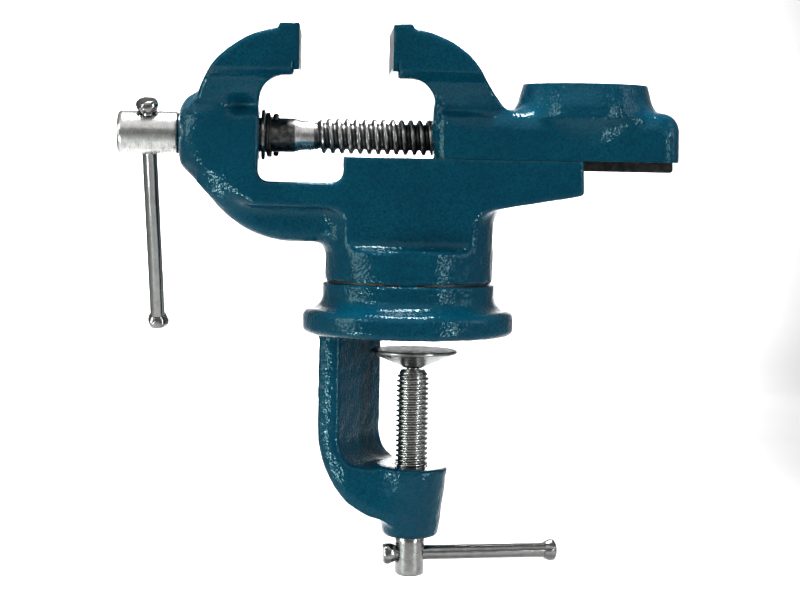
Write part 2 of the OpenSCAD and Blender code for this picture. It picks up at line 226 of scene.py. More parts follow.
def box_tool(low, high):
    """A cutting block between two corners in millimetres."""
    mesh = bpy.data.meshes.new("tool")
    bm = bmesh.new()
    bmesh.ops.create_cube(bm, size=1)
    for v in bm.verts:
        v.co = Vector([(low[i] + (v.co[i] + 0.5) * (high[i] - low[i])) * MM for i in range(3)])
    bm.to_mesh(mesh)
    bm.free()
    return add_object("tool", mesh)


def lathe_mesh(name, profile, axis_point, axis, steps=64):
    """A closed solid of revolution. profile is [(along, radius), ...] in millimetres from axis_point."""
    axis = Vector(axis).normalized()
    side = axis.orthogonal().normalized()
    other = axis.cross(side)
    bm = bmesh.new()
    rings = []
    for along, radius in profile:
        centre = Vector(axis_point) + axis * along
        if radius < 1e-6:
            rings.append([bm.verts.new(centre * MM)])
            continue
        ring = []
        for i in range(steps):
            a = 2 * math.pi * i / steps
            ring.append(bm.verts.new((centre + (side * math.cos(a) + other * math.sin(a)) * radius) * MM))
        rings.append(ring)
    for a, b in zip(rings, rings[1:]):
        for i in range(steps):
            j = (i + 1) % steps
            corners = [a[i % len(a)], a[j % len(a)], b[j % len(b)], b[i % len(b)]]
            corners = list(dict.fromkeys(corners))
            if len(corners) > 2:
                bm.faces.new(corners)
    return close_bmesh(bm, bpy.data.meshes.new(name))


def rod_tool(point, axis, radius, low, high, steps=64):
    """A cutting rod along axis through point, from low to high."""
    profile = [(low, 0), (low, radius), (high, radius), (high, 0)]
    return add_object("tool", lathe_mesh("tool", profile, point, axis, steps))


def cut(obj, tools, operation="DIFFERENCE"):
    """Machines obj with closed tools, which are used up."""
    for tool in tools:
        modifier = obj.modifiers.new("cut", "BOOLEAN")
        modifier.operation = operation
        modifier.solver = "MANIFOLD"
        modifier.object = tool
        bpy.context.view_layer.update()
        evaluated = obj.evaluated_get(bpy.context.evaluated_depsgraph_get())
        result = bpy.data.meshes.new_from_object(evaluated)
        obj.modifiers.clear()
        old = obj.data
        obj.data = result
        bpy.data.meshes.remove(old)
        tool_mesh = tool.data
        bpy.data.objects.remove(tool)
        bpy.data.meshes.remove(tool_mesh)


def shade(obj, angle=35):
    """Smooth shading that stays crisp at edges sharper than angle."""
    mesh = obj.data
    mesh.polygons.foreach_set("use_smooth", np.ones(len(mesh.polygons), bool))
    mesh.set_sharp_from_angle(angle=math.radians(angle))


# ---- Castings ----

PLATE_HALF = (fixed_plate[1][1] - fixed_plate[0][1]) / 2 + 0.05
PAINT_BACK = 0.25


def skin(x0, x1, x, y, z):
    """The head's flank carried forward, so that its paint runs over the ends of the jaw plate."""
    sheet = smooth_max(np.maximum(x0 - x, x - x1), np.maximum(y - JAW_HALF, z - JAW_TOP), 0.8)
    return smooth_max(sheet, PLATE_LOW + 3.4 - z, 1.2)


def fixed_casting():
    """Fixed jaw, slideway and swivel drum."""
    f = Field((body_box[0][0], -JAW_HALF, DRUM_Z - 1), (RAIL_X1 + 1, JAW_HALF, JAW_TOP))
    x, y, z = f.x, np.abs(f.y), f.z
    start = 90 + math.degrees(math.asin((FIXED_SEAT - TOP_LAND + 48.4) / -HEAD_R))
    outline = (
        [(FIXED_SEAT, UNDER_Z), (FIXED_SEAT, JAW_TOP), (FIXED_SEAT - TOP_LAND, JAW_TOP)]
        + arc(-48.4, HEAD_Z, HEAD_R, start, 163, 18)
        + [(-88.5, 86.5), (-90.3, 78), (-89.3, 66.5), (-83.6, 59.2), (-74, 53.3), (-62, 50.3)]
        + [(-30, 49.8), (25, 49.2), (36, 50.8), (RAIL_X1 - 0.6, 56.1), (RAIL_X1 + 0.6, 57.1)]
        + [(RAIL_X1, SLIDE_Z + 0.8), (RAIL_X0, SLIDE_Z + 0.8)]
        + arc(RAIL_X0 - NOTCH_R, NOTCH_Z + NOTCH_R, NOTCH_R, 0, -90, 6)
        + arc(THROAT_X + NOTCH_R, NOTCH_Z + NOTCH_R, NOTCH_R, 270, 180, 6)
        + arc(THROAT_X + THROAT_R, UNDER_Z - THROAT_R, THROAT_R, 180, 90, 8)
    )
    side = polygon_field(x, z, outline)
    drum = np.hypot(x, f.y) - DRUM_R
    side = smooth_min(side, np.maximum(drum, z - 55), 7)
    # half width: full at the head, drawn in at the neck, thinning towards the screw boss
    low = np.interp(x, [-92, -84, -62, RAIL_X0], [11, 16.2, 21, SLIDE_HALF])
    high = np.interp(z, [86, 90, 99.3, 102.6, 103.4], [19, 19.5, 24.2, 29.2, JAW_HALF])
    t = np.clip((z - 84) / 6, 0, 1)
    t = t * t * (3 - 2 * t)
    width = low * (1 - t) + high * t
    width = width - 4.5 * np.exp(-(((x + 67) / 5.5) ** 2) - ((z - 89.5) / 3) ** 2)
    flank = smooth_min(y - width, z - LEDGE_Z, 5)
    soft = 1.8 + 8 * np.clip((-60 - x) / 14, 0, 1) * np.clip((88 - z) / 8, 0, 1)
    shape = smooth_max(side, flank, soft)
    shape = np.maximum(shape, DRUM_Z - z)
    # narrower web that follows the lower curve
    web = np.hypot(x + 46, z - 75.4) - 39.3
    web = np.minimum(np.maximum(web, z - 57), np.maximum(span(x, -46, -22), span(z, 36.1, 57)))
    web = smooth_max(web, y - 14, 6)
    shape = smooth_min(shape, web, 6)
    boss = smooth_max(np.hypot(f.y, z - SCREW_Z) - 16.4, span(x, body_box[0][0], -68), 10)
    shape = smooth_min(shape, boss, 4)
    throat = polygon_field(
        x, z,
        [(60, UNDER_Z)] + arc(THROAT_X + THROAT_R, UNDER_Z - THROAT_R, THROAT_R, 90, 180, 8)
        + arc(THROAT_X + NOTCH_R, NOTCH_Z + NOTCH_R, NOTCH_R, 180, 270, 6)
        + arc(RAIL_X0 - NOTCH_R, NOTCH_Z + NOTCH_R, NOTCH_R, -90, 0, 6) + [(RAIL_X0, 75), (60, 75)])
    shape = smooth_max(shape, -throat, 2.2)
    shape = np.minimum(shape, skin(FIXED_SEAT - 6, FIXED_FACE - PAINT_BACK, x, y, z))
    shape = shape + f.lumps(LUMP_SIZE, LUMP_DEPTH, 3)
    obj = f.mesh("fixed_jaw_casting", shape)
    groove_top, groove_low = SLIDE_HALF - 8.2, SLIDE_HALF - 6.45
    groove = prism_x(
        [(-groove_low, SLIDE_Z - 4.2), (groove_low, SLIDE_Z - 4.2),
         (groove_top - 0.4, SLIDE_Z + 1), (-groove_top + 0.4, SLIDE_Z + 1)],
        RAIL_X0 - 6, RAIL_X1 + 6)
    cut(obj, [
        box_tool((RAIL_X0 - 1, -40, SLIDE_Z), (80, 40, SLIDE_Z + 6)),
        box_tool((FIXED_SEAT, -PLATE_HALF, PLATE_LOW), (FIXED_FACE + 3, PLATE_HALF, 130)),
        box_tool((-120, -50, 0), (90, 50, DRUM_Z)),
        groove,
        rod_tool((0, 0, SCREW_Z), (1, 0, 0), SPINDLE_BORE_R, body_box[0][0] - 3, THROAT_X + 6),
        rod_tool((0, 0, 0), (0, 0, 1), SPIGOT_BORE_R, DRUM_Z - 2, 24.7),
        rod_tool((0, 0, 0), (0, 0, 1), BOLT_BORE_R, DRUM_Z - 2, 48),
    ])
    ring_low, ring_high = BASE_TOP + 0.1, DRUM_Z + 1.3
    ring = lathe_mesh("rim", [(ring_low, SPIGOT_BORE_R), (ring_low, RING_R), (ring_high, RING_R),
                              (ring_high, SPIGOT_BORE_R)], (0, 0, 0), (0, 0, 1), 96)
    close_ring(ring)
    cut(obj, [add_object("rim", ring)], "UNION")
    return obj


def close_ring(mesh):
    """Closes the inner wall of a lathed ring whose profile is open."""
    bm = bmesh.new()
    bm.from_mesh(mesh)
    edges = [e for e in bm.edges if e.is_boundary]
    bmesh.ops.bridge_loops(bm, edges=edges)
    close_bmesh(bm, mesh)


def prism_x(outline, x0, x1):
    """A closed prism: an outline in Y and Z run from x0 to x1."""
    bm = bmesh.new()
    ends = [[bm.verts.new((x * MM, p[0] * MM, p[1] * MM)) for p in outline] for x in (x0, x1)]
    n = len(outline)
    bm.faces.new(ends[0])
    bm.faces.new(ends[1][::-1])
    for i in range(n):
        j = (i + 1) % n
        bm.faces.new([ends[0][i], ends[1][i], ends[1][j], ends[0][j]])
    return add_object("tool", close_bmesh(bm, bpy.data.meshes.new("tool")))


SLIDE_X0 = MOVING_FACE + 16.9
SLIDE_X1 = jaw_box[1][0]
SLIDE_TOP = 89.4
ANVIL_X = MOVING_FACE + 77.4
ANVIL_TOP = 100.0


def moving_casting():
    """Moving jaw with its slide and anvil."""
    f = Field((MOVING_FACE, -JAW_HALF, SLIDE_Z - 1), (SLIDE_X1, JAW_HALF, JAW_TOP + 1))
    x, y, z = f.x, np.abs(f.y), f.z
    seat, top = MOVING_SEAT, JAW_TOP + 0.5
    start = 90 - math.degrees(math.asin((TOP_LAND - 2) / (HEAD_R + 0.5)))
    outline = (
        [(seat, UNDER_Z), (seat, top), (seat + TOP_LAND, top)]
        + arc(seat + 2, HEAD_Z, HEAD_R + 0.5, start, 42, 16)
        + [(seat + 42.6, 88.6), (seat + 42.6, 78), (SLIDE_X0, 78)]
        + arc(SLIDE_X0 - THROAT_R, UNDER_Z - THROAT_R, THROAT_R, 0, 90, 8)
    )
    side = polygon_field(x, z, outline)
    neck = np.interp(z, [82, 85, 99.3, 102.6, 103.4], [14.5, 15.5, 24.2, 29.2, JAW_HALF])
    rim = np.exp(-(((x - SLIDE_X0) / 2.2) ** 2)) + 0.5 * np.clip((x - 16) / 18, 0, 1)
    neck = neck + np.clip(1 - np.abs(z - 86) / 9, 0, 1) * 5 * np.clip(rim, 0, 1)
    shape = smooth_max(side, y - neck, 1.8)
    bar = np.maximum(span(x, SLIDE_X0, SLIDE_X1), span(z, SLIDE_Z - 14, SLIDE_TOP))
    bar = smooth_max(x - SLIDE_X1, z - SLIDE_TOP, 9)
    bar = smooth_max(bar, np.maximum(SLIDE_X0 - x, SLIDE_Z - 14 - z), 0.01)
    bar = smooth_max(bar, y - SLIDE_HALF, 9)
    shape = smooth_min(shape, bar, 3)
    r = np.hypot(x - ANVIL_X, f.y)
    cone = polygon_field(
        r, z,
        [(-5, 76), (20.5, 76), (23.5, 81), (27.6, 86.5), (27.3, 91), (24.7, ANVIL_TOP + 0.6),
         (-5, ANVIL_TOP + 0.6)])
    shape = smooth_min(shape, cone, 4)
    shape = np.minimum(shape, skin(MOVING_FACE + PAINT_BACK, MOVING_SEAT + 6, x, y, z))
    shape = shape + f.lumps(LUMP_SIZE, LUMP_DEPTH, 5)
    obj = f.mesh("moving_jaw_casting", shape)
    cut(obj, [
        box_tool((0, -50, SLIDE_Z - 20), (130, 50, SLIDE_Z + 0.1)),
        box_tool((MOVING_FACE - 3, -PLATE_HALF, PLATE_LOW), (MOVING_SEAT, PLATE_HALF, 130)),
        box_tool((ANVIL_X - 40, -40, ANVIL_TOP), (ANVIL_X + 40, 40, ANVIL_TOP + 4)),
        rod_tool((0, 0, SCREW_Z), (1, 0, 0), SLIDE_BORE_R, SLIDE_X0 - 3, 98),
    ])
    return obj


def base_casting():
    """Flange, clamp arm and clamp boss, modelled with the arm along its own x."""
    turn = Matrix.Rotation(ARM_TURN, 4, "Z")
    boss_top, boss_low = -53.4, base_box[0][2]
    f = Field((-FLANGE_R, -FLANGE_R, boss_low), (FLANGE_R, FLANGE_R, BASE_TOP + 4))
    x, y, z = f.x, np.abs(f.y), f.z
    r = np.hypot(f.x, f.y)
    flange = polygon_field(
        r, z,
        [(-5, 0)] + arc(FLANGE_R - 2.6, 2.6, 2.6, -90, 0, 6) + arc(FLANGE_R - 3.6, 6.6, 3.6, 0, 90, 8)
        + arc(FLANGE_R - 2.6, 15.5, 5.3, 250, 180, 8)
        + [(34.3, BASE_TOP - 0.5), (33.8, BASE_TOP), (-5, BASE_TOP)])
    out, inner = -30.2, -20.6
    side = polygon_field(
        x, z,
        [(inner, 6), (out, 6)] + arc(out + ARM_SWEEP, ARM_SWEEP_Z, ARM_SWEEP, 180, 245, 14)
        + [(CLAMP_X, -76), (CLAMP_X, boss_top - 1), (CLAMP_X - 8, boss_top)]
        + arc(inner + 10, -43, 10, 265, 180, 8))
    half = np.interp(x, [-31, -16, CLAMP_X], [20.3, 20.3, 12.8])
    middle = (out + inner) / 2
    centre = np.hypot(x - (out + ARM_SWEEP), z - ARM_SWEEP_Z) - 34
    draft = 0.14 * np.where(z > ARM_SWEEP_Z, np.abs(x - middle), np.abs(centre))
    arm = smooth_max(side, y - half + draft - 0.4, 2.4)
    shape = smooth_min(flange, arm, 3)
    rb = np.hypot(f.x - CLAMP_X, f.y)
    boss = polygon_field(
        rb, z,
        [(-5, boss_low)] + arc(8.9, boss_low + 2.6, 2.6, -90, -5, 5)
        + [(14.5, boss_top - 0.8), (13.9, boss_top), (-5, boss_top)])
    shape = smooth_min(shape, boss, 4)
    outside = np.where(z > ARM_SWEEP_Z, middle - x, centre) > 0
    seam = 0.28 * np.exp(-((f.y / 0.75) ** 2)) * (outside & (x < CLAMP_X - 8))
    shape = shape + f.lumps(LUMP_SIZE, LUMP_DEPTH, 8) - seam
    spigot = np.maximum(r - SPIGOT_R, span(z, BASE_TOP - 2, BASE_TOP + 4))
    shape = np.minimum(shape, spigot)
    obj = f.mesh("clamp_base_casting", shape)
    cut(obj, [
        rod_tool((0, 0, 0), (0, 0, 1), BOLT_RECESS_R, -4, 10),
        rod_tool((0, 0, 0), (0, 0, 1), 5.1, 5, BASE_TOP + 8),
        rod_tool((CLAMP_X, 0, 0), (0, 0, 1), CLAMP_R + 0.06, boss_low - 4, boss_top + 4),
    ])
    obj.data.transform(turn)
    return obj


# ---- Turned, forged and ground pieces ----

def turned(name, rows, point, axis, steps=64, thread=None, phase=0.0):
    """A closed turned solid. rows is [(along, radius), ...]; thread is (start, end, pitch, root, crest).

    Between start and end the radius follows a right-hand thread that fades out over its last half turn.
    """
    axis = Vector(axis).normalized()
    side = Vector((0, 0, 1)) if abs(axis.z) < 0.7 else Vector((1, 0, 0))
    side = (side - axis * side.dot(axis)).normalized()
    other = axis.cross(side)
    if thread:
        start, end, pitch, root, crest = thread
        count = int((end - start) / pitch * 18)
        threaded = [(start + (end - start) * i / count, None) for i in range(1, count)]
        rows = [r for r in rows if r[0] <= start] + threaded + [r for r in rows if r[0] >= end]
    points, faces, rings = [], [], []
    for along, radius in rows:
        if radius is not None and radius < 1e-6:
            rings.append([len(points)])
            points.append(Vector(point) + axis * along)
            continue
        ring = []
        for i in range(steps):
            a = 2 * math.pi * i / steps
            r = radius
            if radius is None:
                wave = math.cos(2 * math.pi * (along / pitch) - a + phase)
                fade = min(1, (along - start) / pitch, (end - along) / pitch)
                r = root + (crest - root) * fade * (0.5 + 0.5 * math.tanh(1.9 * wave + 0.1) / math.tanh(2.0))
            ring.append(len(points))
            points.append(Vector(point) + axis * along + (side * math.cos(a) + other * math.sin(a)) * r)
        rings.append(ring)
    for a, b in zip(rings, rings[1:]):
        for i in range(steps):
            j = (i + 1) % steps
            corners = [a[i % len(a)], a[j % len(a)], b[j % len(b)], b[i % len(b)]]
            corners = list(dict.fromkeys(corners))
            faces.append(corners)
    return add_object(name, closed_mesh(name, [p * MM for p in points], faces))


def along_axis(obj, point, axis):
    """Moves a mesh modelled round its own +Z to stand on point along axis."""
    turn = Vector((0, 0, 1)).rotation_difference(Vector(axis)).to_matrix().to_4x4()
    obj.data.transform(Matrix.Translation(Vector(point) * MM) @ turn)
    return obj


def forged_knob(name, radius, height, bore, point, axis, seed):
    """A bar end upset by hammering: a thick button with flats and dents, z from 0 to height."""
    f = Field((-radius, -radius, -0.5), (radius, radius, height), voxel=0.22, margin=1.0)
    r = np.hypot(f.x, f.y)
    outline = [(-1, 0), (bore + 0.5, 0), (radius - 0.5, height * 0.3), (radius, height * 0.55),
               (radius - 0.3, height * 0.82), (radius - 1.2, height - 0.1), (0, height), (-1, height)]
    shape = polygon_field(r, f.z, outline)
    rng = np.random.default_rng(seed)
    for i in range(5):
        a = 2 * math.pi * (i + rng.uniform(-0.3, 0.3)) / 5
        lean = rng.uniform(-0.3, 0.35)
        n = np.array((math.cos(a) * math.cos(lean), math.sin(a) * math.cos(lean), math.sin(lean)))
        reach = radius * rng.uniform(0.91, 0.99) * math.cos(lean) + height * 0.5 * math.sin(lean)
        shape = smooth_max(shape, n[0] * f.x + n[1] * f.y + n[2] * f.z - reach, 0.9)
    shape = shape + f.lumps(2.5, 0.05, seed)
    return along_axis(f.mesh(name, shape), point, axis)


def knob_middle(node, cross, axis):
    """How far along a bar's axis the middle of one of its knobs lies from the cross hole."""
    low, high = mm_box(node)
    return ((Vector(low) + Vector(high)) / 2 - cross).dot(axis)


def wire(name, path, radius, sides=10):
    """A round wire along a list of points, closed at both ends."""
    points, faces = [], []
    for i, p in enumerate(path):
        p = Vector(p)
        ahead = (Vector(path[min(i + 1, len(path) - 1)]) - Vector(path[max(i - 1, 0)])).normalized()
        side = ahead.cross(Vector((1, 0, 0.02))).normalized()
        other = ahead.cross(side)
        for k in range(sides):
            a = 2 * math.pi * k / sides
            points.append((p + side * (radius * math.cos(a)) + other * (radius * math.sin(a))) * MM)
    for i in range(len(path) - 1):
        for k in range(sides):
            m = (k + 1) % sides
            faces.append((i * sides + k, i * sides + m, (i + 1) * sides + m, (i + 1) * sides + k))
    faces.append(tuple(range(sides)))
    faces.append(tuple((len(path) - 1) * sides + k for k in range(sides))[::-1])
    return add_object(name, closed_mesh(name, points, faces))


def jaw_plate(name, node, facing):
    """A ground steel plate with crossed serrations on the gripping face; facing is +1 or -1 along X."""
    (x0, y0, z0), (x1, y1, z1) = mm_box(node)
    step, pitch, depth, border = 0.4, 2.2, 0.35, 1.1
    ny, nz = int((y1 - y0) / step), int((z1 - z0) / step)
    front, back = (x1, x0) if facing > 0 else (x0, x1)
    points, faces = [], []
    for i in range(ny + 1):
        for k in range(nz + 1):
            y, z = y0 + (y1 - y0) * i / ny, z0 + (z1 - z0) * k / nz
            edge = min(y - y0, y1 - y, z - z0, z1 - z)
            groove = 0.0
            for d in ((y + z) / math.sqrt(2), (y - z) / math.sqrt(2)):
                t = abs((d / pitch) % 1 - 0.5) * 2
                groove = max(groove, 1 - min(1, t / 0.45))
            sunk = depth * groove * min(1, max(0, (edge - border) / 0.3)) + 0.15 * max(0, 1 - edge / 0.35)
            points.append(((front - facing * sunk) * MM, y * MM, z * MM))
    for i in range(ny + 1):
        for k in range(nz + 1):
            y, z = y0 + (y1 - y0) * i / ny, z0 + (z1 - z0) * k / nz
            points.append((back * MM, y * MM, z * MM))
    row, layer = nz + 1, (ny + 1) * (nz + 1)
    for i in range(ny):
        for k in range(nz):
            a = i * row + k
            faces.append((a, a + row, a + row + 1, a + 1))
            faces.append(tuple(layer + c for c in (a, a + 1, a + row + 1, a + row)))
    rim = [i * row for i in range(ny + 1)] + [ny * row + k for k in range(1, nz + 1)]
    rim += [i * row + nz for i in range(ny - 1, -1, -1)] + [k for k in range(nz - 1, 0, -1)]
    for a, b in zip(rim, rim[1:] + rim[:1]):
        faces.append((a, b, layer + b, layer + a))
    return add_object(name, closed_mesh(name, points, faces))


HEAD_X0, HEAD_RAD, SHANK_R, CROSS_X = -116.0, 8.5, 6.75, -104.0
THREAD_X0, THREAD_X1, MAIN_PITCH, MAIN_R = -38.5, 61.0, 3.6, 7.0
BAR_AXIS = Vector(joint("main_bar_slide")["axis"]).normalized()
CROSS = Vector((CROSS_X, 0, SCREW_Z))
BAR_R = 3.0
CLAMP_BAR_AXIS = -Vector(joint("clamp_bar_slide")["axis"]).normalized()
CLAMP_CROSS = Vector((CLAMP_AXIS[0], CLAMP_AXIS[1], -88.5))
CLAMP_LOW, CLAMP_R, CLAMP_HEAD_R = clamp_box[0][2], 6.5, 5.9
PAD_Z, PAD_H = pad_box[1][2], 7.2
BALL_Z, BALL_R = PAD_Z - 4.1, 3.0
PIN_X = (mm_box("retaining_pin")[0][0] + mm_box("retaining_pin")[1][0]) / 2
BAR_TURNED = Vector((0, BAR_AXIS.y, BAR_AXIS.z)).normalized()
KNOB_R, KNOB_H = 4.6, 5.0


def spindle():
    """Main screw: cross-drilled head, plain shank, drawn-in neck and a right-hand square-ish thread."""
    boss_x = body_box[0][0]
    rows = [(HEAD_X0, 0), (HEAD_X0, HEAD_RAD - 1.3), (HEAD_X0 + 0.35, HEAD_RAD - 0.45),
            (HEAD_X0 + 1.1, HEAD_RAD)]
    rows += [(HEAD_X0 + 1.1 + i * 1.15, HEAD_RAD) for i in range(1, 18)]
    rows += [(boss_x - 1.0, HEAD_RAD), (boss_x - 0.4, HEAD_RAD - 0.5), (boss_x - 0.1, HEAD_RAD - 1.2),
             (boss_x - 0.1, SHANK_R), (THROAT_X + 12.7, SHANK_R), (THROAT_X + 13.6, SHANK_R - 0.15),
             (THROAT_X + 15.6, 6.0), (THROAT_X + 16.6, 5.85), (THREAD_X0, 5.8)]
    rows += [(THREAD_X1, 5.0), (THREAD_X1 + 0.01, 0)]
    obj = turned("main_spindle_screw", rows, (0, 0, SCREW_Z), (1, 0, 0), 72,
                 (THREAD_X0, THREAD_X1, MAIN_PITCH, 5.15, MAIN_R), phase=0.6)
    flare = [(-14, 0), (-14, 5.6), (-HEAD_RAD - 0.25, 4.3), (-HEAD_RAD + 1.1, 3.5), (HEAD_RAD - 1.1, 3.5),
             (HEAD_RAD + 0.25, 4.3), (14, 5.6), (14, 0)]
    cut(obj, [add_object("tool", lathe_mesh("tool", flare, CROSS, BAR_AXIS, 48)),
              rod_tool((PIN_X, 0, SCREW_Z), BAR_TURNED, 1.22, -12, 12, 24)])
    return obj


def spring_pin():
    """Split tube pressed through the shank."""
    bm = bmesh.new()
    outer, inner, half, steps = 1.2, 0.72, 8.6, 22
    rings = []
    for z, shrink in ((-half, 0.25), (-half + 0.5, 0), (half - 0.5, 0), (half, 0.25)):
        loop = []
        for r in (outer - shrink, inner):
            angles = [math.radians(12 + 336 * i / steps) for i in range(steps + 1)]
            if r == inner:
                angles = angles[::-1]
            loop += [bm.verts.new((r * math.cos(a) * MM, r * math.sin(a) * MM, z * MM)) for a in angles]
        rings.append(loop)
    n = len(rings[0])
    for a, b in zip(rings, rings[1:]):
        for i in range(n):
            j = (i + 1) % n
            bm.faces.new((a[i], a[j], b[j], b[i]))
    half_n = n // 2
    for loop in (rings[0], rings[-1]):
        for i in range(half_n - 1):
            bm.faces.new((loop[i], loop[i + 1], loop[n - 2 - i], loop[n - 1 - i]))
    mesh = close_bmesh(bm, bpy.data.meshes.new("pin"))
    return along_axis(add_object("shank_spring_pin", mesh), (PIN_X, 0, SCREW_Z), BAR_TURNED)


def thrust_coil():
    """Wavy wire washer of two turns between the thrust washer and the pin."""
    low, high = mm_box("thrust_spring")
    x0, x1 = low[0] + 0.65, high[0] - 0.65
    path = []
    for i in range(121):
        a = 2 * math.pi * 2.0 * i / 120 + 1.0
        x = x0 + (x1 - x0) * i / 120 + 0.22 * math.sin(3 * a) * math.sin(math.pi * i / 120)
        path.append((x, 8.25 * math.cos(a), SCREW_Z + 8.25 * math.sin(a)))
    return wire("thrust_coil_spring", path, 0.62)


def washer():
    low, high = mm_box("thrust_washer")
    r = (high[1] - low[1]) / 2
    rows = [(low[0], 6.85), (low[0], r - 0.35), (low[0] + 0.3, r), (high[0] - 0.35, r), (high[0], r - 0.35),
            (high[0], 6.85)]
    mesh = lathe_mesh("thrust_washer_ring", rows, (0, 0, SCREW_Z), (1, 0, 0), 72)
    close_ring(mesh)
    return add_object("thrust_washer_ring", mesh)


def bar(name, point, axis, low, high, radius):
    """A drawn bar whose radius wavers faintly along its length."""
    rows = [(low, 0), (low, radius - 0.3), (low + 0.3, radius)]
    count = 24
    for i in range(count + 1):
        rows.append((low + 0.5 + (high - low - 1) * i / count, radius + 0.035 * math.sin(i * 1.7)))
    rows += [(high - 0.3, radius), (high, radius - 0.3), (high, 0)]
    return turned(name, rows, point, axis, 40)


def clamp_spindle_screw():
    """Clamp screw: cross-drilled head, fine thread up to a shoulder, neck and ball inside the pad."""
    low, boss_low, shoulder = CLAMP_LOW, base_box[0][2], PAD_Z - PAD_H - 0.6
    rows = [(low, 0), (low, CLAMP_HEAD_R - 1.5), (low + 0.25, CLAMP_HEAD_R - 0.7),
            (low + 0.9, CLAMP_HEAD_R - 0.05)]
    rows += [(low + 1.5 + i * 1.2, CLAMP_HEAD_R) for i in range(11)]
    rows += [(boss_low - 0.6, CLAMP_HEAD_R), (boss_low - 0.2, 5.7), (boss_low, 5.5)]
    rows += [(shoulder - 1.2, 5.3), (shoulder, 4.6), (shoulder + 0.1, 2.5), (BALL_Z - 1.7, 2.4)]
    for a in np.radians(np.linspace(-32, 82, 10)):
        rows.append((BALL_Z + BALL_R * math.sin(a), BALL_R * math.cos(a)))
    rows += [(BALL_Z + BALL_R, 0)]
    point = (CLAMP_AXIS[0], CLAMP_AXIS[1], 0)
    thread = (boss_low, shoulder - 1.2, 2.0, 5.4, CLAMP_R)
    obj = turned("clamp_spindle_screw", rows, point, (0, 0, 1), 64, thread)
    flare = [(-12, 0), (-12, 5.4), (-6.1, 3.9), (-4.9, 3.2), (4.9, 3.2), (6.1, 3.9), (12, 5.4), (12, 0)]
    cut(obj, [add_object("tool", lathe_mesh("tool", flare, CLAMP_CROSS, CLAMP_BAR_AXIS, 40))])
    return obj


def pad():
    """Turned cone with a ball socket below and faint tool rings on its top."""
    z = PAD_Z
    low = z - PAD_H
    rows = [(low, 0), (low, 4.0), (low + 0.3, 4.5)]
    rows += [(low + 0.3 + (PAD_H - 1.8) * i / 12, 4.5 + (17.0 - 4.5) * (i / 12) ** 0.97) for i in range(1, 13)]
    rows += [(z - 1.25, 17.4), (z - 0.9, 17.5), (z - 0.45, 17.5), (z - 0.1, 17.2)]
    rows += [(z - 0.06 * (i % 2), 16.8 - i * 0.7) for i in range(22)] + [(z, 0)]
    point = (CLAMP_AXIS[0], CLAMP_AXIS[1], 0)
    obj = turned("clamp_pad_cone", rows, point, (0, 0, 1), 96)
    bore = BALL_R + 0.06
    socket = [(z - 9, 0), (z - 9, 3.9), (low + 0.5, bore), (BALL_Z, bore)]
    socket += [(BALL_Z + bore * math.sin(a), bore * math.cos(a)) for a in np.radians(np.linspace(10, 80, 8))]
    socket += [(BALL_Z + bore, 0)]
    groove = [(z - 6.7, 0), (z - 6.7, 3.6), (z - 5.8, 3.6), (z - 5.8, 0)]
    cut(obj, [add_object("tool", lathe_mesh("tool", line, point, (0, 0, 1), 48)) for line in (socket, groove)])
    return obj


# ---- Materials ----

class Graph:
    """Small helper for procedural materials in each piece's object coordinates."""

    def __init__(self, name):
        self.material = bpy.data.materials.new(name)
        self.material.use_nodes = True
        self.tree = self.material.node_tree
        self.shader = self.tree.nodes["Principled BSDF"]
        self.place = self.add("ShaderNodeTexCoord").outputs["Object"]

    def add(self, kind, inputs=(), **settings):
        node = self.tree.nodes.new(kind)
        for key, value in settings.items():
            setattr(node, key, value)
        for key, value in dict(inputs).items():
            self.put(node, key, value)
        return node

    def put(self, node, key, value):
        socket = node.inputs[key]
        if isinstance(value, bpy.types.NodeSocket):
            self.tree.links.new(value, socket)
        else:
            socket.default_value = value

    def noise(self, size, detail=2.0, rough=0.5, stretch=None):
        """Noise with features about size millimetres apart."""
        place = self.place
        if stretch:
            place = self.add("ShaderNodeVectorMath", {0: place, 1: stretch}, operation="MULTIPLY").outputs[0]
        node = self.add("ShaderNodeTexNoise",
                        {"Vector": place, "Scale": 1 / (size * MM), "Detail": detail, "Roughness": rough})
        return node.outputs["Fac"]

    def remap(self, value, low, high, to_low=0.0, to_high=1.0):
        node = self.add("ShaderNodeMapRange", {"Value": value, "From Min": low, "From Max": high,
                                               "To Min": to_low, "To Max": to_high})
        return node.outputs["Result"]

    def mix(self, fac, a, b, blend="MIX"):
        node = self.add("ShaderNodeMix", data_type="RGBA", blend_type=blend)
        for index, value in ((0, fac), (6, a), (7, b)):
            self.put(node, index, value)
        return node.outputs[2]

    def math(self, operation, a, b=0.0):
        return self.add("ShaderNodeMath", {0: a, 1: b}, operation=operation).outputs[0]

    def axis_value(self, axis):
        return self.add("ShaderNodeSeparateXYZ", {0: self.place}).outputs[axis]

    def bump(self, height, depth, normal=None):
        """Relief of depth millimetres where height goes from 0 to 1."""
        inputs = {"Height": height, "Distance": depth * MM, "Strength": 1.0}
        if normal is not None:
            inputs["Normal"] = normal
        return self.add("ShaderNodeBump", inputs).outputs["Normal"]

    def finish(self, **values):
        for key, value in values.items():
            self.put(self.shader, key.replace("_", " "), value)
        return self.material


def rgb(*c):
    return (*c, 1.0)


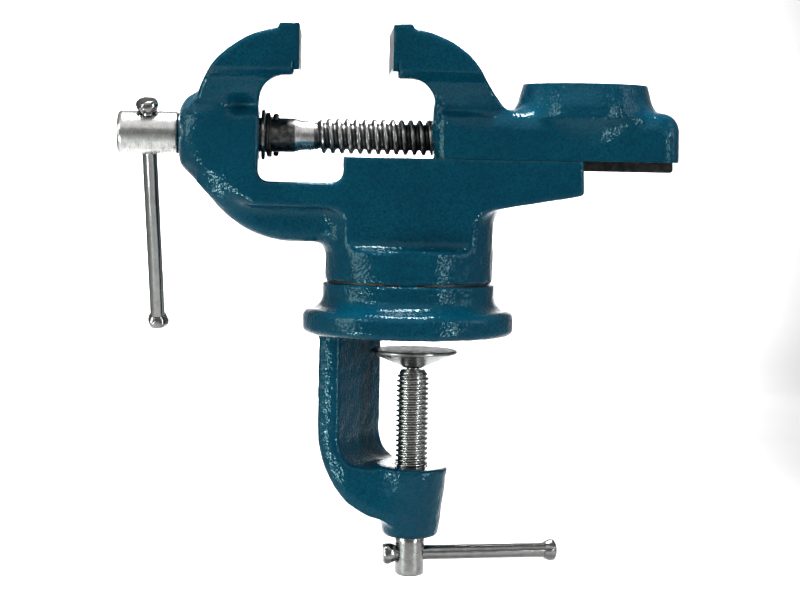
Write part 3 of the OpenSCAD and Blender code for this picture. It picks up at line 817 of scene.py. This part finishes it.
def enamel_material():
    g = Graph("enamel")
    broad = g.remap(g.noise(22, 3), 0.35, 0.65)
    tint = g.mix(broad, rgb(0.0008, 0.037, 0.066), rgb(0.0012, 0.049, 0.080))
    dapple = g.remap(g.noise(0.85, 2), 0.36, 0.68)
    tint = g.mix(dapple, tint, rgb(0.0005, 0.028, 0.052))
    normal = g.bump(g.noise(1.15, 1.5, 0.45), 0.24)
    normal = g.bump(g.noise(5, 1), 0.22, normal)
    rough = g.remap(g.noise(2.5), 0.3, 0.7, 0.055, 0.095)
    return g.finish(Base_Color=tint, Roughness=rough, Specular_IOR_Level=0.2,
                    Specular_Tint=rgb(0.62, 0.95, 1.0), Normal=normal)


def machined_material():
    g = Graph("machined_iron")
    tool = g.noise(0.35, 2, stretch=(1.0, 0.12, 1.0))
    stain = g.remap(g.noise(6, 4), 0.42, 0.7)
    tint = g.mix(stain, rgb(0.33, 0.335, 0.335), rgb(0.16, 0.165, 0.165))
    rough = g.remap(tool, 0.3, 0.7, 0.32, 0.52)
    return g.finish(Base_Color=tint, Metallic=1.0, Roughness=rough, Normal=g.bump(tool, 0.02))


def steel_material(name, tint, rough, along="x", grain=0.25, depth=0.012, stain=0.35, extra=None):
    """Bright steel with tool marks round the turning axis (short across it) and faint staining."""
    g = Graph(name)
    stretch = {"x": (1, 0.06, 0.06), "z": (0.06, 0.06, 1), "all": (1, 1, 1)}[along]
    marks = g.noise(grain, 3, stretch=stretch)
    cloud = g.remap(g.noise(2.6, 4, 0.6), 0.45, 0.72)
    dark = tuple(c * (1 - stain) for c in tint)
    colour = g.mix(cloud, rgb(*tint), rgb(*dark))
    colour = g.mix(g.remap(marks, 0.35, 0.65, 0.0, 0.35), colour, rgb(*(c * 0.6 for c in tint)))
    if extra:
        colour, rough = extra(g, colour, rough)
    wear = g.remap(marks, 0.3, 0.7, -0.05, 0.07)
    roughness = g.math("ADD", wear, rough)
    return g.finish(Base_Color=colour, Metallic=1.0, Roughness=roughness, Normal=g.bump(marks, depth))


def painted_thread_shade(g, colour, rough):
    """Painted shade: the shank and the thread roots darkened to near black with a faint mottle; the crests, the
    head and the drawn-in neck stay bright.
    """
    x = g.axis_value(0)
    up = g.add("ShaderNodeVectorMath", {0: g.place, 1: (0, 1, 1)}, operation="MULTIPLY").outputs[0]
    up = g.add("ShaderNodeVectorMath", {0: up, 1: (0, 0, SCREW_Z * MM)}, operation="DISTANCE").outputs["Value"]
    crest = g.remap(up, 5.6 * MM, 6.9 * MM)
    on_thread = g.remap(x, (THREAD_X0 - 0.5) * MM, (THREAD_X0 + 0.5) * MM)
    on_shank = g.math("MULTIPLY", g.remap(x, -90 * MM, -89.5 * MM),
                      g.remap(x, (THROAT_X + 13.2) * MM, (THROAT_X + 13.5) * MM, 1, 0))
    shade_mottle = g.remap(g.noise(2.2, 2), 0.4, 0.62, 0.82, 1.0)
    # painted shade: near black over the shank and the thread, with a faint mottle
    painted_shade = g.math("MULTIPLY", shade_mottle, g.math("MAXIMUM", on_shank, on_thread))
    # the painted shade is lifted part way on the thread crests, so the roots stay darkest
    unshaded_crest = g.math("MULTIPLY", g.math("MULTIPLY", crest, 0.55), on_thread)
    painted_shade = g.math("MULTIPLY", painted_shade, g.math("SUBTRACT", 1.0, unshaded_crest))
    return g.mix(painted_shade, colour, rgb(0.045, 0.045, 0.045)), g.math("ADD", g.math("MULTIPLY", painted_shade, 0.1), rough)


def plate_material():
    """Ground steel jaw face; the plate's ends, top and underside were painted with the casting."""
    g = Graph("jaw_plate_steel")
    marks = g.noise(0.3, 3, stretch=(1, 1, 0.15))
    stain = g.remap(g.noise(3, 4), 0.42, 0.7)
    colour = g.mix(stain, rgb(0.40, 0.41, 0.42), rgb(0.2, 0.21, 0.22))
    rough = g.remap(marks, 0.3, 0.7, 0.25, 0.42)
    return g.finish(Base_Color=colour, Metallic=1.0, Roughness=rough, Normal=g.bump(marks, 0.015))


def black_material():
    """Blackened steel with a faint bloom of oil; also used as painted shade on the casting's side walls below
    the drum, in the gap above the flange.
    """
    g = Graph("black_oxide_and_gap_shade")
    cloud = g.remap(g.noise(2.2, 4), 0.4, 0.7)
    colour = g.mix(cloud, rgb(0.012, 0.012, 0.013), rgb(0.045, 0.043, 0.04))
    return g.finish(Base_Color=colour, Metallic=0.6, Roughness=g.remap(cloud, 0, 1, 0.34, 0.52),
                    Normal=g.bump(g.noise(0.5, 3), 0.03))


def floor_material():
    g = Graph("floor")
    faint = g.remap(g.noise(180, 2), 0.3, 0.7, 0.49, 0.52)
    colour = g.add("ShaderNodeCombineColor", {0: faint, 1: faint, 2: faint}).outputs[0]
    return g.finish(Base_Color=colour, Roughness=0.85, Specular_IOR_Level=0.1)


# ---- Put the pieces on their bodies ----

def place(obj, body, node, slot, *materials, angle=35):
    obj.data.materials.clear()
    for m in materials:
        obj.data.materials.append(m)
    shade(obj, angle)
    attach(obj, body)
    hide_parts(node)
    return obj


def repaint(obj, *tests):
    """Gives the faces picked by each test(centre, normal), in millimetres, the piece's next material."""
    mesh = obj.data
    count = len(mesh.polygons)
    centre, normal = np.empty(count * 3, np.float32), np.empty(count * 3, np.float32)
    mesh.polygons.foreach_get("center", centre)
    mesh.polygons.foreach_get("normal", normal)
    centre, normal = centre.reshape(-1, 3) / MM, normal.reshape(-1, 3)
    index = np.zeros(count, np.int32)
    for i, test in enumerate(tests):
        index[test(centre, normal)] = i + 1
    mesh.polygons.foreach_set("material_index", index)


enamel, machined = enamel_material(), machined_material()
# the spindle's steel carries painted shade on its shank and thread roots
satin_steel = steel_material("turned_steel", (0.60, 0.593, 0.585), 0.25, "x", extra=painted_thread_shade)
clamp_steel = steel_material("clamp_steel", (0.33, 0.325, 0.32), 0.22, "z", stain=0.3)
pad_steel = steel_material("pad_steel", (0.23, 0.225, 0.22), 0.28, "z", stain=0.3)
bar_steel = steel_material("bar_steel", (0.29, 0.287, 0.283), 0.16, "all", grain=0.5, depth=0.01, stain=0.25)
plate_steel, black = plate_material(), black_material()

body = place(fixed_casting(), "upper", "fixed_jaw_body", "enamel", enamel, machined, black)
repaint(body, lambda c, n: (
    ((np.abs(c[:, 2] - SLIDE_Z) < 0.05) & (n[:, 2] > 0.9) & (c[:, 0] > RAIL_X0))
    | ((c[:, 2] > SLIDE_Z - 4.4) & (c[:, 2] < SLIDE_Z) & (np.abs(c[:, 1]) < 17) & (c[:, 0] > RAIL_X0)
       & (c[:, 0] < RAIL_X1 - 0.3))
    | ((np.hypot(c[:, 1], c[:, 2] - SCREW_Z) < 7.0) & (c[:, 0] < THROAT_X + 2))
    | ((c[:, 2] < DRUM_Z - 0.01) & (n[:, 2] < -0.9))),
    # painted shade: black on the side walls below the drum, where the rim sits in the gap above the flange
    lambda c, n: (c[:, 2] < DRUM_Z) & (np.abs(n[:, 2]) < 0.5))
jaw = place(moving_casting(), "slide", "moving_jaw", "enamel", enamel, machined)
repaint(jaw, lambda c, n: (
    ((c[:, 2] > ANVIL_TOP - 0.05) & (n[:, 2] > 0.9) & (c[:, 0] > 30))
    | ((c[:, 2] < SLIDE_Z + 0.15) & (n[:, 2] < -0.9))
    | ((np.hypot(c[:, 1], c[:, 2] - SCREW_Z) < 7.3) & (c[:, 0] > SLIDE_X0 - 1) & (c[:, 0] < 99))))
foot = place(base_casting(), "base", "clamp_base", "enamel", enamel, machined)
clamp_centre = np.array(CLAMP_AXIS)
repaint(foot, lambda c, n: (
    ((c[:, 2] > BASE_TOP - 0.05) & (np.hypot(c[:, 0], c[:, 1]) < 14.6))
    | ((np.hypot(c[:, 0] - clamp_centre[0], c[:, 1] - clamp_centre[1]) < CLAMP_R + 0.3) & (c[:, 2] < -50))
    | ((np.hypot(c[:, 0], c[:, 1]) < 16.2) & (c[:, 2] > 0) & (c[:, 2] < 19))))

for name, node, facing, rider in (("jaw_face_fixed", "fixed_jaw_plate", 1, "upper"),
                                  ("jaw_face_moving", "moving_jaw_plate", -1, "slide")):
    plate = place(jaw_plate(name, node, facing), rider, node, "ground_steel", plate_steel, enamel, angle=20)
    repaint(plate, lambda c, n: np.abs(n[:, 0]) < 0.5)

place(spindle(), "main_spindle", "main_screw", "turned_steel", satin_steel, angle=40)
place(washer(), "main_spindle", "thrust_washer", "turned_steel", clamp_steel)
place(thrust_coil(), "main_spindle", "thrust_spring", "black_steel", black, angle=60)
place(spring_pin(), "main_spindle", "retaining_pin", "black_steel", black)
place(clamp_spindle_screw(), "clamp_spindle", "clamp_screw", "bright_steel", clamp_steel, angle=40)
disc = place(pad(), "pad", "clamp_pad", "turned_steel", pad_steel, black, angle=25)
repaint(disc, lambda c, n: (n[:, 2] > 0.9) & (c[:, 2] > PAD_Z - 0.2))
for rod, node, rider, cross, axis, knobs in (
        ("main_bar_rod", "main_bar", "main_handle", CROSS, BAR_AXIS,
         (("main_bar_knob_top", "main_bar_top_knob", 4), ("main_bar_knob_end", "main_bar_end_knob", 9))),
        ("clamp_bar_rod", "clamp_bar", "clamp_handle", CLAMP_CROSS, CLAMP_BAR_AXIS,
         (("clamp_bar_knob_inner", "clamp_bar_inner_knob", 15),
          ("clamp_bar_knob_outer", "clamp_bar_outer_knob", 21)))):
    ends = [knob_middle(knob, cross, axis) for _, knob, _ in knobs]
    for middle, (piece, knob, seed) in zip(ends, knobs):
        outward = axis if middle > 0 else -axis
        point = cross + axis * middle - outward * (KNOB_H / 2)
        place(forged_knob(piece, KNOB_R, KNOB_H, BAR_R, point, outward, seed), rider, knob, "polished_bar",
              bar_steel)
    place(bar(rod, cross, axis, min(ends), max(ends), BAR_R), rider, node, "polished_bar", bar_steel)
finishes = {"fixed_plate_screws": clamp_steel, "moving_plate_screws": clamp_steel, "swivel_washer": clamp_steel}
for name, node in NODES.items():
    if not node.hide_render:
        node.data.materials.clear()
        node.data.materials.append(finishes.get(name, black))


# ---- Stage, camera and light ----

EYE = Vector((-0.032, -0.800, 0.067))
AIM = Vector((-0.0032, 0.0, 0.0132))
ROLL = math.radians(1.1)
LENS = 90.3


def add_camera():
    data = bpy.data.cameras.new("camera")
    data.lens = LENS
    data.sensor_width = 36
    cam = bpy.data.objects.new("camera", data)
    bpy.context.scene.collection.objects.link(cam)
    look = (AIM - EYE).to_track_quat("-Z", "Y").to_matrix()
    cam.matrix_world = Matrix.Translation(EYE) @ (look @ Matrix.Rotation(ROLL, 3, "Z")).to_4x4()
    bpy.context.scene.camera = cam


def area_light(name, place, target, size, power, colour=(1, 1, 1), spread=180):
    data = bpy.data.lights.new(name, "AREA")
    data.shape = "RECTANGLE"
    data.size, data.size_y = size
    data.energy = power
    data.color = colour
    data.spread = math.radians(spread)
    lamp = bpy.data.objects.new(name, data)
    bpy.context.scene.collection.objects.link(lamp)
    place = Vector(place)
    lamp.location = place
    lamp.visible_camera = False
    lamp.rotation_euler = (Vector(target) - place).to_track_quat("-Z", "Y").to_euler()


def add_floor():
    """A pale floor below the clamp screw's full travel, which sweeps up into a wall far behind."""
    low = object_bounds()[0][2] + PAD_LIFT[0] - 0.0005
    bend, reach, wall = 0.5, 1.7, 1.3
    profile = [(-4.0, low), (-2.0, low), (-1.0, low), (0.0, low), (reach - bend, low)]
    for t in np.radians(range(5, 91, 5)):
        profile.append((reach - bend + bend * math.sin(t), low + bend - bend * math.cos(t)))
    profile += [(reach, wall)]
    points = [(x, y, z) for y, z in profile for x in (-5.0, 5.0)]
    faces = [(2 * i, 2 * i + 1, 2 * i + 3, 2 * i + 2) for i in range(len(profile) - 1)]
    mesh = bpy.data.meshes.new("floor")
    mesh.from_pydata(points, [], faces)
    mesh.polygons.foreach_set("use_smooth", [True] * len(faces))
    floor = add_object("floor", mesh)
    floor.data.materials.append(floor_material())


def add_world():
    """Studio surround: white sweep behind the object, dimmer room on the camera's side."""
    world = bpy.data.worlds.new("studio")
    bpy.context.scene.world = world
    world.use_nodes = True
    tree = world.node_tree
    back = tree.nodes["Background"]
    where = tree.nodes.new("ShaderNodeTexCoord")
    split = tree.nodes.new("ShaderNodeSeparateXYZ")
    ramp = tree.nodes.new("ShaderNodeMapRange")
    ramp.interpolation_type = "SMOOTHSTEP"
    for key, value in (("From Min", 0.86), ("From Max", 0.96), ("To Min", 0.26), ("To Max", 1.0)):
        ramp.inputs[key].default_value = value
    tree.links.new(where.outputs["Generated"], split.inputs[0])
    tree.links.new(split.outputs["Y"], ramp.inputs["Value"])
    tree.links.new(ramp.outputs["Result"], back.inputs["Strength"])
    back.inputs["Color"].default_value = (1, 1, 1, 1)


add_camera()
add_floor()
add_world()
area_light("left_softbox", (-1.0, -0.30, 0.22), (0, 0, 0.04), (0.30, 0.60), 4.4, (0.90, 1.0, 0.90))
area_light("right_softbox", (1.1, -0.25, 0.35), (0, 0, 0.04), (0.30, 0.60), 1.8, (0.90, 0.97, 1.0))
area_light("front_top_softbox", (-0.15, -0.95, 1.0), (0, 0, 0.04), (1.6, 1.1), 4.5)
area_light("right_strip", (0.80, -0.74, 0.15), (0, 0, 0.02), (0.05, 0.7), 3.6, (0.93, 0.98, 1.0))
area_light("low_left_spark", (-0.25, -0.18, -0.080), (0, 0, 0.02), (0.032, 0.05), 0.34, (0.85, 1.0, 0.97))
area_light("low_right_spark", (0.20, -0.24, -0.080), (0, 0, 0.0), (0.03, 0.04), 0.20, (0.9, 1.0, 1.0))
area_light("high_left_spark", (-0.50, -0.42, 0.32), (0, 0, 0.04), (0.06, 0.06), 0.7)
area_light("high_right_spark", (0.52, -0.50, 0.22), (0, 0, 0.04), (0.05, 0.05), 0.25)
area_light("floor_wash_near", (-0.02, 0.31, 0.75), (-0.02, 0.31, -0.1), (0.30, 0.8), 5.0, spread=50)
area_light("floor_wash_far", (0, 1.15, 0.75), (0, 1.15, -0.1), (0.5, 0.8), 7.2, spread=55)
area_light("wall_wash", (0, 0.9, 0.9), (0, 1.7, 0.12), (0.5, 0.3), 12, spread=65)
bpy.context.scene.view_settings.view_transform = "Standard"
